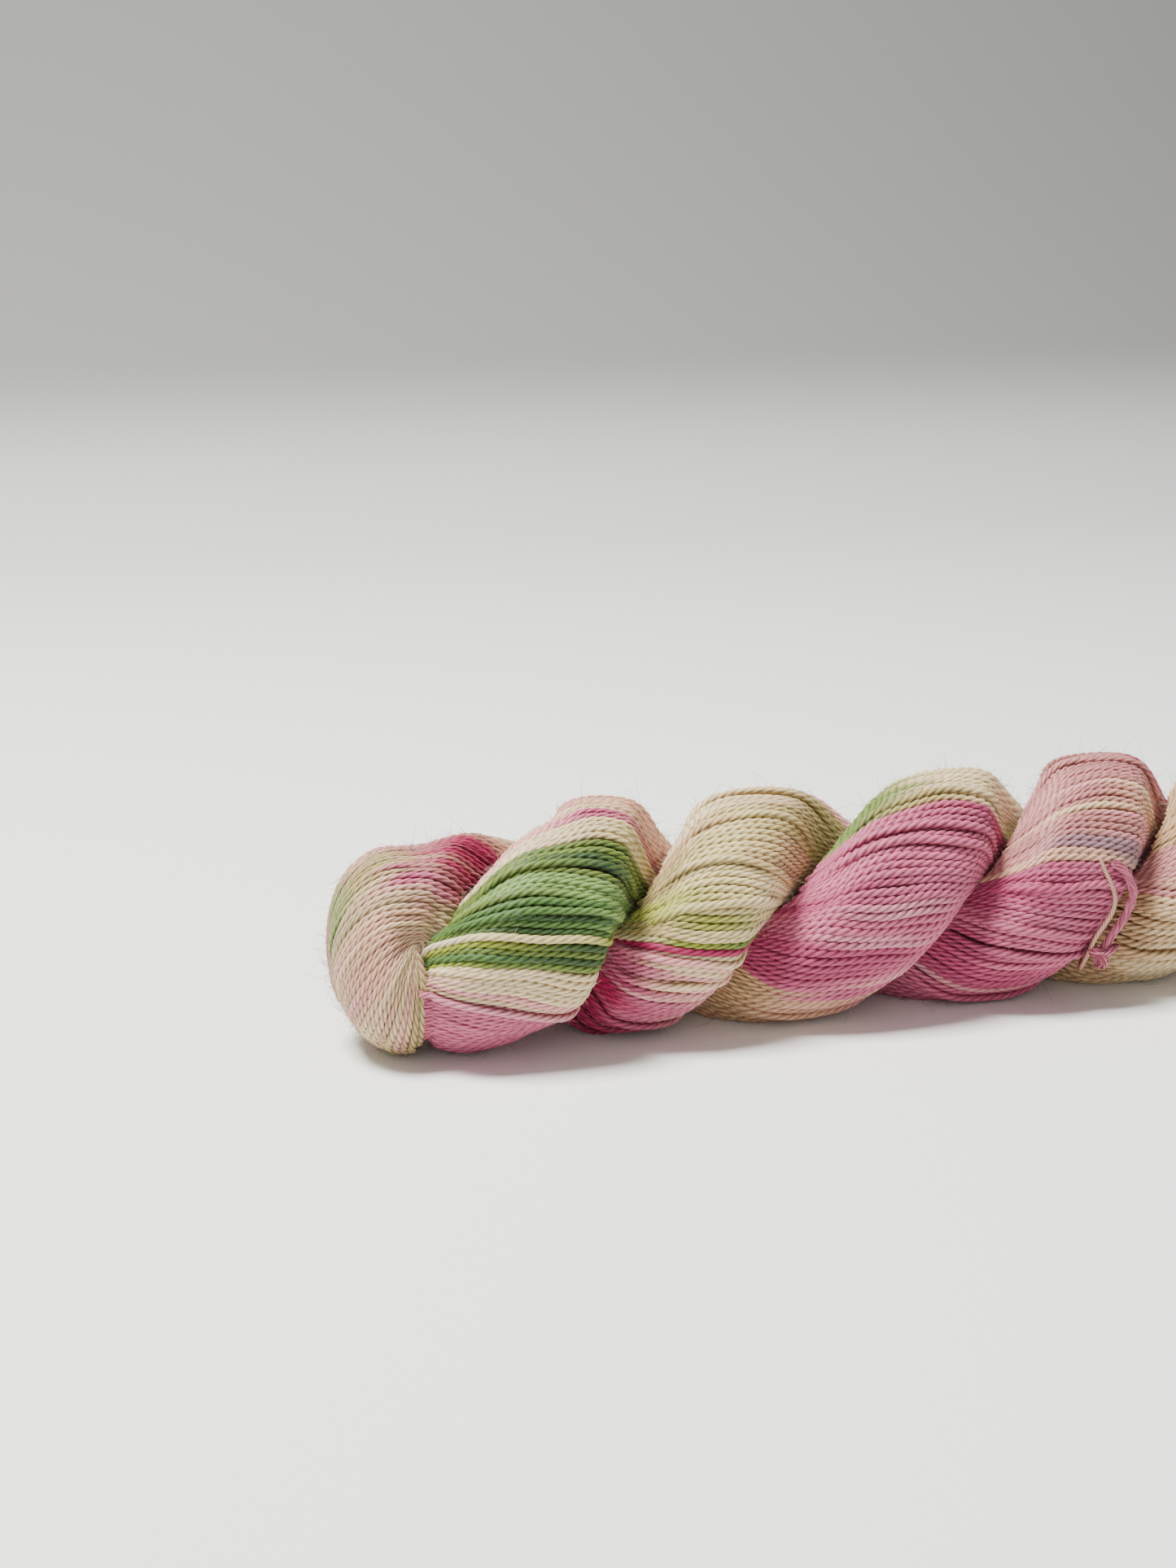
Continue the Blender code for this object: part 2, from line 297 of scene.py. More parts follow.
# Each strand's visible turn: rows of (lowest degrees, dye at its left, middle and right).
BANDS = {
    (SECOND, 0): (
        (150, "cream", "peach", "rose"), (112, "blush", "peach", "peach"),
        (88, "dusk", "peach", "peach"), (81, "peach", "cream", "peach"),
        (76, "blush", "rose", "dusk"), (61, "cream", "cream", "straw"),
        (55, "moss", "moss", "moss"), (49, "moss", "bottle", "moss"),
        (44, "moss", "moss", "bottle"), (36, "sage", "sage", "green"),
        (31, "moss", "sage", "green"), (27, "green", "green", "sage"),
        (22, "green", "bottle", "green"), (18.5, "moss", "green", "sage"),
        (15, "moss", "bottle", "green"), (11.8, "white", "straw", "lime"),
        (8.4, "lime", "bottle", "green"), (5, "moss", "moss", "bottle"),
        (2, "green", "bottle", "moss"),
        (-1, "lime", "moss", "moss"), (-9, "cream", "cream", "cream"),
        (-13, "tan", "cream", "cream"), (-17, "blush", "cream", "cream"),
        (-21, "blush", "blush", "cream"), (-25, "rose", "cream", "blush"),
        (-30, "rose", "pale_rose", "blush"), (-72, "rose", "rose", "rose"),
        (-111, "deep_rose", "rose", "rose"),
    ),
    (FIRST, 1): (
        (170, "rose", "rose", "cream"), (112, "cream", "cream", "blush"),
        (78, "cream", "cream", "khaki"), (62, "tan", "straw", "khaki"),
        (38, "khaki", "straw", "tan"), (15, "chartreuse", "straw", "cream"),
        (9.5, "khaki", "chartreuse", "straw"), (3, "khaki", "straw", "cream"),
        (-1, "cream", "lime", "moss"), (-5, "magenta", "magenta", "deep_rose"),
        (-9, "rose", "cream", "cream"), (-12, "rose", "blush", "cream"),
        (-17, "rose", "cream", "blush"), (-22, "rose", "blush", "cream"),
        (-28, "rose", "cream", "blush"), (-36, "deep_rose", "blush", "peach"),
        (-46, "magenta", "rose", "blush"), (-60, "magenta", "rose", "blush"),
        (-111, "magenta", "deep_rose", "rose"),
    ),
    (SECOND, 1): (
        (160, "green", "sage", "cream"), (112, "moss", "cream", "cream"),
        (72, "moss", "cream", "cream"), (66, "moss", "khaki", "cream"),
        (52, "rose", "rose", "deep_rose"), (26, "rose", "rose", "rose"),
        (12, "deep_rose", "rose", "rose"), (4, "rose", "pale_rose", "rose"),
        (-3, "rose", "rose", "rose"), (-12, "deep_rose", "pale_rose", "rose"),
        (-27, "deep_rose", "deep_rose", "rose"), (-34, "deep_rose", "rose", "blush"),
        (-42, "tan", "rose", "rose"), (-111, "tan", "peach", "dusk"),
    ),
    (FIRST, 2): (
        (165, "cream", "rose", "rose"), (112, "dusk", "dusk", "rose"),
        (70, "dusk", "dusk", "dusk"), (64, "dusk", "blush", "cream"),
        (55, "dusk", "dusk", "peach"), (50, "peach", "cream", "peach"),
        (38, "dusk", "dusk", "blush"), (31, "dusk", "mauve", "mauve"),
        (25, "peach", "peach", "mauve"), (12, "deep_rose", "rose", "deep_rose"),
        (-8, "deep_rose", "rose", "rose"), (-22, "rose", "rose", "deep_rose"),
        (-35, "deep_rose", "rose", "rose"), (-48, "deep_rose", "deep_rose", "rose"),
        (-54, "pale_rose", "blush", "blush"),
        (-111, "rose", "rose", "deep_rose"),
    ),
    (SECOND, 2): (
        (150, "sage", "cream", "cream"), (100, "cream", "straw", "cream"),
        (40, "tan", "cream", "straw"), (-2, "dusk", "tan", "cream"),
        (-111, "tan", "cream", "cream"),
    ),
    (FIRST, 3): (
        (150, "cream", "cream", "blush"), (100, "lime", "green", "sage"),
        (30, "sage", "green", "moss"), (-20, "cream", "straw", "cream"),
        (-111, "blush", "rose", "rose"),
    ),
    (SECOND, 3): (
        (100, "rose", "blush", "cream"), (-20, "rose", "rose", "cream"),
        (-111, "cream", "blush", "cream"),
    ),
}
PLAIN_BANDS = ((-111, "cream", "blush", "cream"),)

# Dye on the turn, and painted shade at the crease: patches at (distance along, degrees, spread
# along, spread round, dye, share).
TURN_PATCHES = (
    (-9.0, 25.0, 7.0, 50.0, "peach", 0.65),
    (-12.0, -25.0, 5.0, 30.0, "blush", 0.40),
    (14.0, 66.0, 12.0, 17.0, "deep_rose", 1.0),
    (16.0, 92.0, 15.0, 24.0, "magenta", 1.0),
    (3.0, 104.0, 9.0, 16.0, "dusk", 0.9),
    (-6.0, 88.0, 7.0, 9.0, "khaki", 1.0),
    (0.0, 73.0, 6.0, 5.0, "rose", 0.85),
    (7.0, 54.0, 6.0, 6.0, "rose", 0.8),
    (-15.0, 98.0, 4.0, 32.0, "sage", 0.85),
    # This khaki patch at the crease, below the pivot, is painted shade: the warm shade where the
    # turn's yarns go down into the crease.
    (0.5, -25.0, 5.0, 50.0, "khaki", 0.75),
    (-4.0, -70.0, 9.0, 25.0, "khaki", 0.45),
    (4.0, 44.0, 4.0, 9.0, "tan", 0.6),
    (-6.0, 150.0, 14.0, 30.0, "rose", 0.8),
    (10.0, 170.0, 12.0, 24.0, "green", 0.9),
    (-6.0, 215.0, 12.0, 25.0, "blush", 0.9),
)


def linear(hex_colour):
    """An sRGB hex colour in the linear values that shaders and attributes take."""
    shares = [int(hex_colour[i : i + 2], 16) / 255 for i in (1, 3, 5)]
    return tuple(c / 12.92 if c <= 0.04045 else ((c + 0.055) / 1.055) ** 2.4 for c in shares)


DYE_COLOURS = {name: np.array(linear(value)) for name, value in DYES.items()}
TIE_COLOUR = np.array(linear("#DC7F9C"))
THREAD_COLOUR = np.array(linear("#CDA08C"))


def strand_dye(turn, degrees, across):
    """The dye along one yarn of a strand's turn. Each yarn took the dye a little differently."""
    rows = BANDS.get(turn, PLAIN_BANDS)
    looked_up = degrees + draw.uniform(-0.9, 0.9)
    row = next((row for row in rows if looked_up >= row[0]), rows[-1])
    left, middle, right = (DYE_COLOURS[name] for name in row[1:])
    across = np.clip(across + draw.uniform(-0.14, 0.14), 0.0, 1.0)
    to_middle = smooth((across - 0.08) / 0.42)[:, None]
    to_right = smooth((across - 0.5) / 0.42)[:, None]
    colours = left * (1 - to_middle) + middle * to_middle
    return colours * (1 - to_right) + right * to_right


def turn_dye(points):
    """The dye along one yarn of the turn, with the painted shade at the crease."""
    degrees = degrees_round(points)
    base = draw.choice(("cream", "cream", "peach", "tan", "blush", "khaki"))
    shade = (DYE_COLOURS[base] * 0.6 + DYE_COLOURS["cream"] * 0.4) * draw.uniform(0.78, 1.0)
    colours = alike(shade, len(points))
    for x, middle, spread, turn_spread, name, share in TURN_PATCHES:
        off = (degrees + draw.uniform(-5, 5) - middle + 180) % 360 - 180
        along = points[:, 0] + draw.uniform(-2, 2) - x
        part = share * np.exp(-((along / spread) ** 2) - (off / turn_spread) ** 2)
        part = smooth(part * draw.uniform(0.75, 1.45))[:, None]
        colours = colours * (1 - part) + DYE_COLOURS[name] * part
    return colours


# Yarns

class Yarn:
    """One yarn: its points in millimetres from the turn, the way out of the hank at each,
    its dye and its radii."""

    def __init__(self, points, outward, dye, radii):
        self.points = points
        self.points[:, 2] = np.maximum(points[:, 2], radii)
        self.outward = outward
        self.dye = dye * (1 + draw.uniform(-0.10, 0.10))
        self.radii = radii * draw.uniform(0.95, 1.06)


def unit(vectors):
    """The same directions, one long."""
    return vectors / np.linalg.norm(vectors, axis=1)[:, None]


def evenly(points, step, *also):
    """The same line with its points one step apart, and the values that go with them."""
    lengths = np.linalg.norm(np.diff(points, axis=0), axis=1)
    run = np.concatenate(([0.0], np.cumsum(lengths)))
    count = max(int(run[-1] / step), 2)
    places = np.linspace(0.0, run[-1], count + 1)
    found = []
    for values in (points, *also):
        columns = values.reshape(len(run), -1).T
        moved = np.stack([np.interp(places, run, column) for column in columns], axis=1)
        found.append(moved if values.ndim > 1 else moved[:, 0])
    return found


def waver(count):
    """A slow random swing along a yarn."""
    along = np.arange(count) * YARN_STEP
    swing = np.zeros(count)
    for share, part in ((1.0, 1.0), (0.5, 0.45)):
        start = draw.uniform(0, 2 * math.pi)
        swing += share * np.sin(2 * math.pi * along / (WAVER_LENGTH * part) + start)
    return swing * WAVER_SIZE


# A strand's yarns run this far past its middle on both sides, into the grooves, and end
# under the collar. From FULL_FROM on they keep their height up to it.
STRAND_EDGE = 104.0
STRANDS_END = 223.0
FULL_FROM = 202.0
# A yarn's radius, as a share of the room that its turn leaves it, and its limits.
ROOM_SHARE = 0.61
THINNEST = 0.8
THICKEST = 1.16
# Yarns swing slowly from side to side, and a few stray over their neighbours.
WAVER_SIZE = 0.10
WAVER_LENGTH = 34.0
STRAY_SHARE = 0.10
STRAY_LEAN = 8.0
# A turn arches up, stands out at its middle, drops at its sides and dives at the crease.
ARCH_DEGREES = 9.0
CREST_RISE = 1.5
SHOULDER_DROP = 2.0
CREASE_DIVE = 1.9
# How much of a turn's left side is held up, where it lies over the turn before it.
LEFT_HELD = {(SECOND, 2): 0.6, (FIRST, 2): 0.3}
# Two yarns stand out over their neighbours: a pale one against the green and a magenta one.
# The key is the strand, the turn and the yarn's number, and the value is its lift.
OVER_OTHERS = {(SECOND, 0, 37): 0.6, (FIRST, 1, 31): 0.5}

# How the yarns of a turn drift round the hank as they run to the right: the middle of the
# turn, and rows of (degrees round, degrees of drift for each millimetre).
DRIFTS = {
    (SECOND, 0): (22.0, (
        (-110, 0.0), (-75, -0.2), (-50, -0.7), (-20, -0.85), (-8, -0.55), (0, -0.35),
        (20, -0.42), (45, -0.45), (62, -0.15), (80, 0.0),
    )),
    (FIRST, 1): (62.0, (
        (-110, 0.0), (-60, -0.3), (-30, -0.42), (-4, -0.25), (20, -0.2), (85, 0.0),
    )),
    (SECOND, 1): (104.0, ((-110, 0.0), (-10, -0.08), (40, -0.08), (85, 0.0))),
    (FIRST, 2): (150.0, (
        (-110, 0.0), (-60, 0.0), (-45, -0.12), (-20, -0.4), (0, -0.4), (25, -0.3), (85, 0.0),
    )),
}


def crease_x(degrees):
    """Where the second strand comes out over the turn: nearly straight down from the pivot."""
    return 0.8 - 0.5 * np.exp(-(((degrees - 20) / 14) ** 2)) + 2.2 * smooth((-30 - degrees) / 45)


def over_turn(x, degrees):
    """How far the second strand's first turn reaches: below the pivot it lies over the turn."""
    own = second_strand(x, degrees)
    below = smooth((27 - degrees) / 9) * smooth((14 - x) / 8)
    over = np.maximum(turn_reach(x, degrees) + 0.6 - own, 0.0)
    return own + below * over


def strand_route(strand, turn, degrees):
    """Where a strand's yarn runs, from groove to groove: its distances along the hank, and
    how far across the strand it is there, from 0 to 1. It is None where no yarn fits."""
    toward = 90 if strand == FIRST else -90
    groove_at = degrees + 360 * turn - toward
    groove = np.linspace(groove_at - STRAND_EDGE, groove_at + STRAND_EDGE, 160)
    groove = groove[(groove > GROOVE_ANGLES[0]) & (groove < GROOVE_ANGLES[-1])]
    if len(groove) < 8:
        return None
    x = np.interp(groove, GROOVE_ANGLES, GROOVE_X)
    if strand == SECOND and x[0] < 1.0:
        x = np.concatenate((np.linspace(-1.2, x[0] - 0.1, 6), x))
        groove = np.concatenate((np.full(6, groove[0]), groove))
    kept = x < STRANDS_END
    if kept.sum() < 8:
        return None
    return x[kept], (groove[kept] - groove_at) / 180 + 0.5


def strand_lift(strand, turn, degrees, across, x, before_crease):
    """How far a yarn is lifted off its strand."""
    aside = np.abs(across - 0.5)
    lift = CREST_RISE * smooth(1 - aside / 0.42)
    held = LEFT_HELD.get((strand, turn), 0.0)
    if (strand, turn) == (SECOND, 0):
        held = smooth((42 - degrees) / 20)
    held = held * smooth((0.5 - across) / 0.15)
    held = np.maximum(held, smooth((x - FULL_FROM) / 10))
    lift = lift - SHOULDER_DROP * smooth((aside - 0.04) / 0.36) * (1 - held)
    if (strand, turn) == (SECOND, 0):
        dive = CREASE_DIVE * (1 + 0.7 * math.exp(-(((degrees + 60) / 24) ** 2)))
        lift = lift - dive * smooth((before_crease + 2.6) / 3.8)
    return lift


def strand_yarn(strand, turn, degrees, over=0.0, lean=0.0):
    """One yarn of a strand. It can lie over its neighbours and lean across them."""
    route = strand_route(strand, turn, degrees)
    if route is None:
        return None
    x, across = route
    upper = smooth(math.sin(math.radians(degrees)) * 1.4)
    lie = degrees - ARCH_DEGREES * upper * (2 * across - 1) ** 2
    if (strand, turn) in DRIFTS:
        middle, rows = DRIFTS[strand, turn]
        at, drifts = np.array(rows, float).T
        lie = lie + np.interp(degrees, at, drifts) * (x - middle)
    swing = 0.8 * np.sin(x / 6.2 + degrees / 11) + 0.45 * np.sin(x / 3.3 - degrees / 6)
    lie = lie + swing + draw.uniform(-0.4, 0.4) + lean * (across - 0.5)
    reach = {FIRST: turn_reach, SECOND: second_strand}[strand]
    if (strand, turn) == (SECOND, 0):
        reach = over_turn
    far = reach(x, lie)
    points = at_reach(x, lie, far)
    side = at_reach(x, lie + 1, reach(x, lie + 1)) - at_reach(x, lie - 1, reach(x, lie - 1))
    outward = unit(np.cross(np.gradient(points, axis=0), side))
    count = YARNS_ROUND.get((strand, turn), OTHER_YARNS_ROUND)
    room = far * math.radians(360 / count)
    radii = np.clip(ROOM_SHARE * room, THINNEST, THICKEST)
    before_crease = crease_x(lie) - x
    points, outward, radii, across, before_crease = evenly(
        points, YARN_STEP, outward, radii, across, before_crease
    )
    lift = waver(len(points)) + draw.uniform(-0.17, 0.17) - radii
    lift = lift + over * smooth((0.5 - np.abs(across - 0.5)) / 0.15)
    lift = lift + strand_lift(strand, turn, degrees, across, points[:, 0], before_crease)
    points = points + outward * lift[:, None]
    return Yarn(points, outward, strand_dye((strand, turn), degrees, across), radii)


def strand_yarns(strand):
    """All yarns of a strand, with some strays that cross over their neighbours."""
    found = []
    for turn in range(1 if strand == FIRST else -1, 4):
        count = YARNS_ROUND.get((strand, turn), OTHER_YARNS_ROUND)
        for i in range(count):
            degrees = -110 + 360 * i / count
            found.append(strand_yarn(strand, turn, degrees, OVER_OTHERS.get((strand, turn, i), 0)))
            beside = any((strand, turn, i + k) in OVER_OTHERS for k in (-1, 0, 1))
            if draw.random() < STRAY_SHARE and not beside:
                lean = draw.uniform(-STRAY_LEAN, STRAY_LEAN)
                found.append(strand_yarn(strand, turn, degrees, 1.0, lean))
    return [yarn for yarn in found if yarn]


# The turn: yarns leave the first strand, sweep round the lobe and go down behind it. The way
# they run is set by the angle between them and the straight way out from the pivot.
PIVOT = math.radians(PIVOT_DEGREES)
POLE = np.array((0.0, -math.cos(PIVOT), math.sin(PIVOT)))
POLE_RIGHT = np.array((1.0, 0.0, 0.0))
POLE_UP = np.array((0.0, math.sin(PIVOT), math.cos(PIVOT)))
TURN_CENTRE = np.array((0.0, 0.0, SIZES[1][3]))
SWEEP = (
    (-60, 92), (60, 92), (95, 86), (120, 66), (135, 56), (160, 43), (177, 34), (190, 26),
    (206, 19), (218, 12), (250, 5), (290, 2), (400, 2),
)
BACK_SWEEP = 62.0
# The turn's yarns run straight along the hank from here to there.
JOIN_FROM = 2.0
JOIN_LENGTH = 13.0
JOIN_END = JOIN_FROM + JOIN_LENGTH
SEED_TILT = math.radians(78)
SEED_GAP = 4.6
UNDER_INSET = 2.3
UNDER_GAP = 2.4
CREASE_TUCK = 0.7
CROWN_RISE = 1.7
HEEL_RISE = 1.5


def on_turn(directions, inset):
    """Points of the turn's surface, drawn in, for directions from its centre or near it."""
    x = directions[:, 0]
    rest = directions[:, 1:]
    degrees = np.degrees(np.arctan2(rest[:, 1], -rest[:, 0]))
    across = np.linalg.norm(rest, axis=1)
    low = np.zeros(len(x))
    high = np.full(len(x), 60.0)
    unit = directions / np.linalg.norm(directions, axis=1)[:, None]
    out = np.linalg.norm(unit[:, 1:], axis=1)
    for _ in range(26):
        middle = (low + high) / 2
        inside = middle * out < turn_reach(middle * unit[:, 0], degrees)
        low = np.where(inside, middle, low)
        high = np.where(inside, high, middle)
    left = TURN_CENTRE + unit * (low - inset)[:, None]
    right = at_reach(x, degrees, turn_reach(x, degrees) - inset)
    right = np.where((across > 0)[:, None], right, left)
    return np.where((x < 0)[:, None], left, right)


def turn_way(points):
    """Which way the yarns run at points of the turn, towards its left and down."""
    off = points - TURN_CENTRE
    off = off / np.linalg.norm(off, axis=1)[:, None]
    tilt = np.arccos(np.clip(off @ POLE, -1, 1))
    round_pole = np.degrees(np.arctan2(off @ POLE_UP, off @ POLE_RIGHT)) % 360
    round_pole = np.where(round_pole > 320, round_pole - 360, round_pole)
    at, sweeps = np.array(SWEEP, float).T
    front = np.interp(round_pole, at, sweeps)
    to_back = smooth((np.degrees(tilt) - 70) / 45)
    sweep = np.radians(front * (1 - to_back) + BACK_SWEEP * to_back)
    away = np.cos(np.radians(round_pole))[:, None] * POLE_RIGHT
    away = away + np.sin(np.radians(round_pole))[:, None] * POLE_UP
    out = np.cos(tilt)[:, None] * away - np.sin(tilt)[:, None] * POLE
    along = -np.sin(np.radians(round_pole))[:, None] * POLE_RIGHT
    along = along + np.cos(np.radians(round_pole))[:, None] * POLE_UP
    way = np.cos(sweep)[:, None] * out + np.sin(sweep)[:, None] * along
    joined = smooth((points[:, 0] - JOIN_FROM) / JOIN_LENGTH)[:, None]
    way = way * (1 - joined) + np.array((-1.0, 0.0, 0.0)) * joined
    return way / np.linalg.norm(way, axis=1)[:, None]


def follow(points, sign, steps, inset=YARN_RADIUS):
    """Lines over the turn from the points, one step at a time."""
    lines = [points]
    for _ in range(steps):
        half = points + turn_way(points) * sign * YARN_STEP / 2
        moved = points + turn_way(half) * sign * YARN_STEP
        shifted = moved - TURN_CENTRE
        height = between(AXIS_HEIGHT, moved[:, 0])
        shifted[:, 2] = np.where(moved[:, 0] < 0, shifted[:, 2], moved[:, 2] - height)
        points = on_turn(shifted, inset)
        lines.append(points)
    return np.stack(lines)


def cut_line(line, sign):
    """A line over the turn, up to where it goes under the second strand, into the crease or
    into a dimple. A line that runs back also ends where it joins the straight part."""
    off = unit(line - TURN_CENTRE)
    tilt = np.degrees(np.arccos(np.clip(off @ POLE, -1, 1)))
    x = line[:, 0]
    degrees = degrees_round(line)
    under = (x > 0.5) & (second_strand(x, degrees) > turn_reach(x, degrees) + 6.5)
    creased = (x > crease_x(degrees) + 1.2) & (np.abs(degrees + 45) < 67)
    ended = under | creased | (tilt < 0.8) | (tilt > 176)
    if sign < 0:
        ended = ended | (x > JOIN_END)
    first = int(np.argmax(ended)) if ended.any() else len(line)
    return line[: max(first, 1)]


def straight_on(point):
    """The rest of a yarn to the right of the turn, to the groove that it goes into."""
    height = float(between(AXIS_HEIGHT, point[0]))
    degrees = math.degrees(math.atan2(point[2] - height, -point[1])) % 360
    last = np.interp(degrees + STRAND_EDGE - 90, GROOVE_ANGLES, GROOVE_X)
    if last < point[0] + 1:
        return None
    x = np.arange(point[0] + YARN_STEP, last, YARN_STEP)
    if not len(x):
        return None
    return at_reach(x, degrees, turn_reach(x, degrees) - YARN_RADIUS)


def spaced_radii(line, beside):
    """A yarn's radii, from how close it lies to the yarns beside it."""
    gaps = [np.linalg.norm(line[:, None] - other, axis=2).min(axis=1) for other in beside]
    gap = np.convolve(np.pad(np.mean(gaps, axis=0), 3, "edge"), np.full(7, 1 / 7), "valid")
    return np.clip(0.57 * gap, 0.45, YARN_RADIUS)


def turn_yarns():
    """The yarns that sweep round the turn."""
    away = [math.radians(degrees) for degrees in np.arange(100.0, 284.0, SEED_GAP)]
    seeds = [
        math.cos(SEED_TILT) * POLE
        + math.sin(SEED_TILT) * (math.cos(turn) * POLE_RIGHT + math.sin(turn) * POLE_UP)
        for turn in away
    ]
    starts = on_turn(np.array(seeds) * 20, YARN_RADIUS)
    back = np.arange(97.0, 247.0, SEED_GAP)
    x = np.full(len(back), JOIN_END)
    starts = np.concatenate((starts, at_reach(x, back, turn_reach(x, back) - YARN_RADIUS)))
    onward = follow(starts, 1, 78)
    backward = follow(starts, -1, 60)
    lines = []
    for i in range(len(starts)):
        ahead = cut_line(onward[:, i], 1)
        behind = cut_line(backward[:, i], -1)
        line = np.concatenate((behind[::-1], ahead[1:]))
        if behind[-1][0] > JOIN_END - 2.5:
            more = straight_on(behind[-1])
            if more is not None:
                line = np.concatenate((more[::-1], line))
        if len(line) >= 6:
            lines.append(evenly(line, YARN_STEP)[0])
    found = []
    for i, line in enumerate(lines):
        radii = spaced_radii(line, lines[max(i - 1, 0) : i] + lines[i + 1 : i + 2])
        x = line[:, 0]
        centre = np.stack((np.maximum(x, 0.0), 0 * x, between(AXIS_HEIGHT, x)), axis=1)
        outward = unit(line - centre)
        lift = waver(len(line)) + draw.uniform(-0.2, 0.2)
        turned = np.degrees(np.arctan2(outward[:, 2], -outward[:, 1]))
        lift = lift - CREASE_TUCK * smooth((x + 2.0) / 4.0) * smooth((34 - turned) / 20)
        crown = np.exp(-((x + 1.0) / 9.0) ** 2 - ((turned - 88) / 34) ** 2)
        lift = lift + CROWN_RISE * crown
        heel = np.exp(-((x + 9.0) / 6.0) ** 2 - ((turned + 80) / 36) ** 2)
        lift = lift - HEEL_RISE * heel
        from_middle = (turned - groove_degrees(x) - 90 + 180) % 360 - 180
        shoulder = smooth((np.abs(from_middle) / 180 - 0.30) / 0.18) * smooth((x - 1.0) / 4.0)
        lift = lift - SHOULDER_DROP * 1.1 * shoulder
        line = line + outward * (lift + (YARN_RADIUS - radii) * 0.5)[:, None]
        found.append(Yarn(line, outward, turn_dye(line), radii))
    return found + under_turn_yarns()


def under_turn_yarns():
    """Yarns under those of the turn, straight round the fold. They show where the others part."""
    found = []
    for side in np.arange(-16.8, 16.9, UNDER_GAP):
        turn = np.radians(np.linspace(84, 276, 80))
        rest = np.stack((np.cos(turn), np.full(80, side / 16.0), np.sin(turn)), axis=1)
        line = evenly(on_turn(rest, UNDER_INSET), YARN_STEP)[0]
        outward = unit(line - TURN_CENTRE)
        radii = np.full(len(line), YARN_RADIUS)
        # Their dye is darkened to 0.85 of the turn's: painted shade of the yarns that lie over
        # them.
        found.append(Yarn(line, outward, turn_dye(line) * 0.85, radii))
    return found


# The tucked end

COLLAR_YARNS = 17
NUB_YARNS = 24
COLLAR_DYES = ("cream", "blush", "rose", "rose", "cream", "sage", "cream", "peach")
NUB_DYES = ("cream", "blush", "cream", "rose", "blush", "cream")


def run_of_dyes(names, along):
    """Dye that changes along a length, from 0 to 1."""
    stops = np.array([DYE_COLOURS[name] for name in names])
    at = np.linspace(0, 1, len(names))
    return np.stack([np.interp(along, at, column) for column in stops.T], axis=1)


def collar_yarns():
    """The loop round the neck: yarns that lie side by side round it, slanted as it is."""
    found = []
    for share in np.linspace(-0.86, 0.9, COLLAR_YARNS):
        degrees = np.linspace(0, 360, 130) + draw.uniform(0, 360)
        off = share + 0.02 * np.sin(np.radians(degrees + draw.uniform(0, 360)))
        x = COLLAR_CENTRE + collar_slant(degrees) + COLLAR_HALF_LENGTH * off
        reach = COLLAR_INNER + COLLAR_THICKNESS * (1 - off * off)
        reach = reach - YARN_RADIUS + draw.uniform(-0.3, 0.2)
        line = evenly(at_reach(x, degrees, reach), YARN_STEP)[0]
        centre = np.array((COLLAR_CENTRE - 12 * share, 0.0, 23.0))
        along = (np.linspace(0, 1, len(line)) + 0.07 * share + draw.uniform(0, 0.06)) % 1
        dye = run_of_dyes(COLLAR_DYES, along)
        found.append(Yarn(line, unit(line - centre), dye, np.full(len(line), YARN_RADIUS)))
    return found


def nub_yarns():
    """The loop that comes out of the collar: yarns that turn over its end."""
    found = []
    for tilt in np.radians(np.linspace(-78, 78, NUB_YARNS)):
        side = (NUB_HALF_WIDTH - YARN_RADIUS) * math.sin(tilt)
        size = math.cos(tilt)
        turn = np.radians(np.linspace(-112, 112, 90))
        x = NUB_CENTRE + (HANK_END - NUB_CENTRE - YARN_RADIUS) * size * np.cos(turn)
        z = between(AXIS_HEIGHT, x) + (NUB_HALF_HEIGHT - YARN_RADIUS) * size * np.sin(turn)
        y = np.full(len(x), side)
        line = evenly(np.stack((x, y, z), axis=1), YARN_STEP)[0]
        centre = np.array((NUB_CENTRE, 0.0, 22.5))
        dye = run_of_dyes(NUB_DYES, np.linspace(0, 1, len(line)))
        found.append(Yarn(line, unit(line - centre), dye, np.full(len(line), YARN_RADIUS)))
    return found


# Making the yarns' meshes

def section_curve(name, corners):
    """A closed flat outline to sweep along a yarn, from its corners' distances and angles."""
    curve = bpy.data.curves.new(name, "CURVE")
    curve.dimensions = "2D"
    spline = curve.splines.new("POLY")
    spline.points.add(len(corners) - 1)
    spline.use_cyclic_u = True
    for point, (far, angle) in zip(spline.points, corners):
        point.co = (far * math.cos(angle), far * math.sin(angle), 0.0, 1.0)
    return curve


def ply_section():
    """Across a yarn: round plies with a narrow valley between each two."""
    ply = ((PLY_VALLEY, 0.0), (PLY_RIDGE, -PLY_CLOSER), (PLY_RIDGE, PLY_CLOSER))
    corners = []
    for i in range(3 * PLIES):
        far, nudge = ply[i % 3]
        corners.append((far, 2 * math.pi * i / (3 * PLIES) + nudge))
    return section_curve("ply_section", corners)


def round_section(sides):
    """Across a hair or a fine fibre."""
    corners = [(1.0, 2 * math.pi * i / sides) for i in range(sides)]
    return section_curve("round_section", corners)


def sweep_tree(section):
    """Geometry nodes that sweep a section along curves and close both ends."""
    tree = bpy.data.node_groups.new("wind_yarn", "GeometryNodeTree")
    tree.interface.new_socket("Geometry", in_out="INPUT", socket_type="NodeSocketGeometry")
    tree.interface.new_socket("Geometry", in_out="OUTPUT", socket_type="NodeSocketGeometry")
    came = tree.nodes.new("NodeGroupInput")
    made = tree.nodes.new("NodeGroupOutput")
    shape = tree.nodes.new("GeometryNodeObjectInfo")
    shape.inputs["Object"].default_value = section
    size = tree.nodes.new("GeometryNodeInputRadius")
    sweep = tree.nodes.new("GeometryNodeCurveToMesh")
    sweep.inputs["Fill Caps"].default_value = True
    tree.links.new(came.outputs[0], sweep.inputs["Curve"])
    tree.links.new(shape.outputs["Geometry"], sweep.inputs["Profile Curve"])
    tree.links.new(size.outputs[0], sweep.inputs["Scale"])
    tree.links.new(sweep.outputs[0], made.inputs[0])
    return tree


